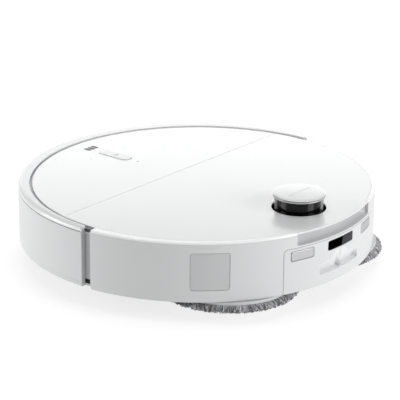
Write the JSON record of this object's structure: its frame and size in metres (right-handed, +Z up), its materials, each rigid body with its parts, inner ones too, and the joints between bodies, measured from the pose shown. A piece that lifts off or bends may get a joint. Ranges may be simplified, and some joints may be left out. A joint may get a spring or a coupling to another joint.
{
  "type": "robot vacuum",
  "caption": "Round robot vacuum and mop with a raised laser turret, lift-off lid, sprung front bumper and spinning mop pads.",
  "frame": {"origin": "centre of the floor contact plane under the middle of the round body", "axes": "+Z up, -Y towards the front bumper, +X towards the robot's left side"},
  "size_m": [0.35, 0.35, 0.0937],
  "materials": {
    "white_gloss": "gloss",
    "white_shell": "satin",
    "inner_grey": "matte",
    "dark_shell": "matte",
    "inner_black": "matte",
    "black_gloss": "gloss",
    "flap_grey": "satin",
    "contact_metal": "satin",
    "steel": "satin",
    "lens": "gloss",
    "battery_wrap": "satin",
    "circuit_board": "satin",
    "tank_plastic": "gloss",
    "bin_plastic": "gloss",
    "hub_grey": "satin",
    "tyre": "matte",
    "roller": "satin",
    "brush_rubber": "matte",
    "mop_cloth": "matte"
  },
  "bodies": {
    "chassis": {"base_pan": "dark_shell", "inner_posts": "inner_black", "side_shell": "white_shell", "top_rim": "white_shell", "deck": "inner_grey", "front_cover": "white_gloss", "rear_panel": "white_shell", "charge_contacts": "contact_metal", "rear_window": "black_gloss", "water_port": "white_shell", "lid_grip": "inner_grey", "status_light": "lens", "battery": "battery_wrap", "battery_cover": "dark_shell", "main_board": "circuit_board", "fan_housing": "inner_black", "brush_housing": "dark_shell", "brush_guard": "dark_shell", "brush_motors": "steel", "wheel_housings": "inner_black", "suspension_pins": "steel", "lidar_well": "black_gloss", "water_tank": "tank_plastic", "cliff_sensors": "black_gloss", "base_screws": "steel", "caster_socket": "inner_black", "vent_chambers": "inner_black", "bumper_channels": "inner_black", "bumper_springs": "steel", "button_spring": "steel"},
    "fan": {"fan_impeller": "inner_grey"},
    "bumper_slide": {"bumper_hanger": "inner_black"},
    "bumper": {"bumper_shell": "white_shell", "sensor_window": "black_gloss"},
    "button": {"power_button": "white_gloss"},
    "turret": {"turret_drum": "black_gloss", "turret_window": "black_gloss", "turret_cap": "white_gloss"},
    "rotor": {"lidar_rotor": "inner_black"},
    "lid": {"lid": "white_gloss"},
    "dust_bin": {"dust_bin": "bin_plastic", "bin_cover": "inner_grey"},
    "flap_left": {"vent_flap_left": "flap_grey"},
    "flap_right": {"vent_flap_right": "flap_grey"},
    "arm_left": {"wheel_arm_left": "inner_black"},
    "arm_right": {"wheel_arm_right": "inner_black"},
    "wheel_left": {"wheel_hub_left": "hub_grey", "tyre_left": "tyre"},
    "wheel_right": {"wheel_hub_right": "hub_grey", "tyre_right": "tyre"},
    "caster": {"caster_fork": "inner_black"},
    "roller": {"caster_roller": "roller"},
    "main_brush": {"main_brush": "brush_rubber"},
    "side_brush": {"side_brush": "brush_rubber"},
    "mop_drive_left": {"mop_drive_left": "steel"},
    "mop_drive_right": {"mop_drive_right": "steel"},
    "mop_left": {"mop_plate_left": "white_shell", "mop_pad_left": "mop_cloth"},
    "mop_right": {"mop_plate_right": "white_shell", "mop_pad_right": "mop_cloth"}
  },
  "joints": [
    {"name": "bumper_press", "type": "slide", "parent": "chassis", "child": "bumper_slide", "axis": [0, 1, 0], "range_m": [0, 0.002], "stiffness_N_per_m": 1500, "springref_m": -0.002, "deforming": ["bumper_springs"]},
    {"name": "bumper_yaw", "type": "hinge", "parent": "bumper_slide", "child": "bumper", "pos_m": [0, 0, 0.05], "axis": [0, 0, 1], "range_deg": [-0.6, 0.6], "stiffness_Nm_per_rad": 60},
    {"name": "button_press", "type": "slide", "parent": "chassis", "child": "button", "axis": [0, 0, -1], "range_m": [0, 0.0008], "stiffness_N_per_m": 600, "springref_m": -0.001, "deforming": ["button_spring"]},
    {"name": "turret_lift", "type": "slide", "parent": "chassis", "child": "turret", "axis": [0, 0, -1], "range_m": [0, 0.0145]},
    {"name": "rotor_spin", "type": "hinge", "parent": "turret", "child": "rotor", "pos_m": [0, 0.1247, 0.075], "axis": [0, 0, 1], "continuous": true},
    {"name": "lid_lift", "type": "slide", "parent": "chassis", "child": "lid", "axis": [0, 0, 1], "range_m": [0, 0.12]},
    {"name": "bin_lift", "type": "slide", "parent": "chassis", "child": "dust_bin", "axis": [0, 0, 1], "range_m": [0, 0.06]},
    {"name": "flap_left_swing", "type": "hinge", "parent": "chassis", "child": "flap_left", "pos_m": [0.12299, 0.1159, 0.066], "axis": [-0.6858, 0.7278, 0], "range_deg": [0, 35], "stiffness_Nm_per_rad": 0.02, "springref_deg": -17.19},
    {"name": "flap_right_swing", "type": "hinge", "parent": "chassis", "child": "flap_right", "pos_m": [-0.12299, 0.1159, 0.066], "axis": [-0.6858, -0.7278, 0], "range_deg": [0, 35], "stiffness_Nm_per_rad": 0.02, "springref_deg": -17.19},
    {"name": "arm_left_drop", "type": "hinge", "parent": "chassis", "child": "arm_left", "pos_m": [0.1, -0.038, 0.034], "axis": [-1, 0, 0], "range_deg": [0, 30]},
    {"name": "arm_right_drop", "type": "hinge", "parent": "chassis", "child": "arm_right", "pos_m": [-0.1, -0.038, 0.034], "axis": [-1, 0, 0], "range_deg": [0, 30]},
    {"name": "wheel_left_spin", "type": "hinge", "parent": "arm_left", "child": "wheel_left", "pos_m": [0.118, 0.008, 0.035], "axis": [1, 0, 0], "continuous": true},
    {"name": "wheel_right_spin", "type": "hinge", "parent": "arm_right", "child": "wheel_right", "pos_m": [-0.118, 0.008, 0.035], "axis": [1, 0, 0], "continuous": true},
    {"name": "caster_swivel", "type": "hinge", "parent": "chassis", "child": "caster", "pos_m": [0, -0.138, 0.025], "axis": [0, 0, 1], "continuous": true},
    {"name": "caster_roll", "type": "hinge", "parent": "caster", "child": "roller", "pos_m": [0, -0.133, 0.008], "axis": [1, 0, 0], "continuous": true},
    {"name": "main_brush_spin", "type": "hinge", "parent": "chassis", "child": "main_brush", "pos_m": [0, -0.05, 0.022], "axis": [1, 0, 0], "continuous": true},
    {"name": "side_brush_spin", "type": "hinge", "parent": "chassis", "child": "side_brush", "pos_m": [-0.112, -0.104, 0.02], "axis": [0, 0, 1], "continuous": true},
    {"name": "fan_spin", "type": "hinge", "parent": "chassis", "child": "fan", "pos_m": [0.108, -0.096, 0.04], "axis": [0, 0, 1], "continuous": true},
    {"name": "mop_left_lower", "type": "slide", "parent": "chassis", "child": "mop_drive_left", "axis": [0, 0, -1], "range_m": [0, 0.01]},
    {"name": "mop_right_lower", "type": "slide", "parent": "chassis", "child": "mop_drive_right", "axis": [0, 0, -1], "range_m": [0, 0.01]},
    {"name": "mop_left_spin", "type": "hinge", "parent": "mop_drive_left", "child": "mop_left", "pos_m": [0.068, 0.095, 0.02], "axis": [0, 0, 1], "continuous": true},
    {"name": "mop_right_spin", "type": "hinge", "parent": "mop_drive_right", "child": "mop_right", "pos_m": [-0.068, 0.095, 0.02], "axis": [0, 0, 1], "continuous": true}
  ],
  "couplings": [
    {"joint": "bin_lift", "follows": "lid_lift", "ratio": 0.5},
    {"joint": "mop_right_lower", "follows": "mop_left_lower", "ratio": 1},
    {"joint": "mop_right_spin", "follows": "mop_left_spin", "ratio": -1}
  ]
}
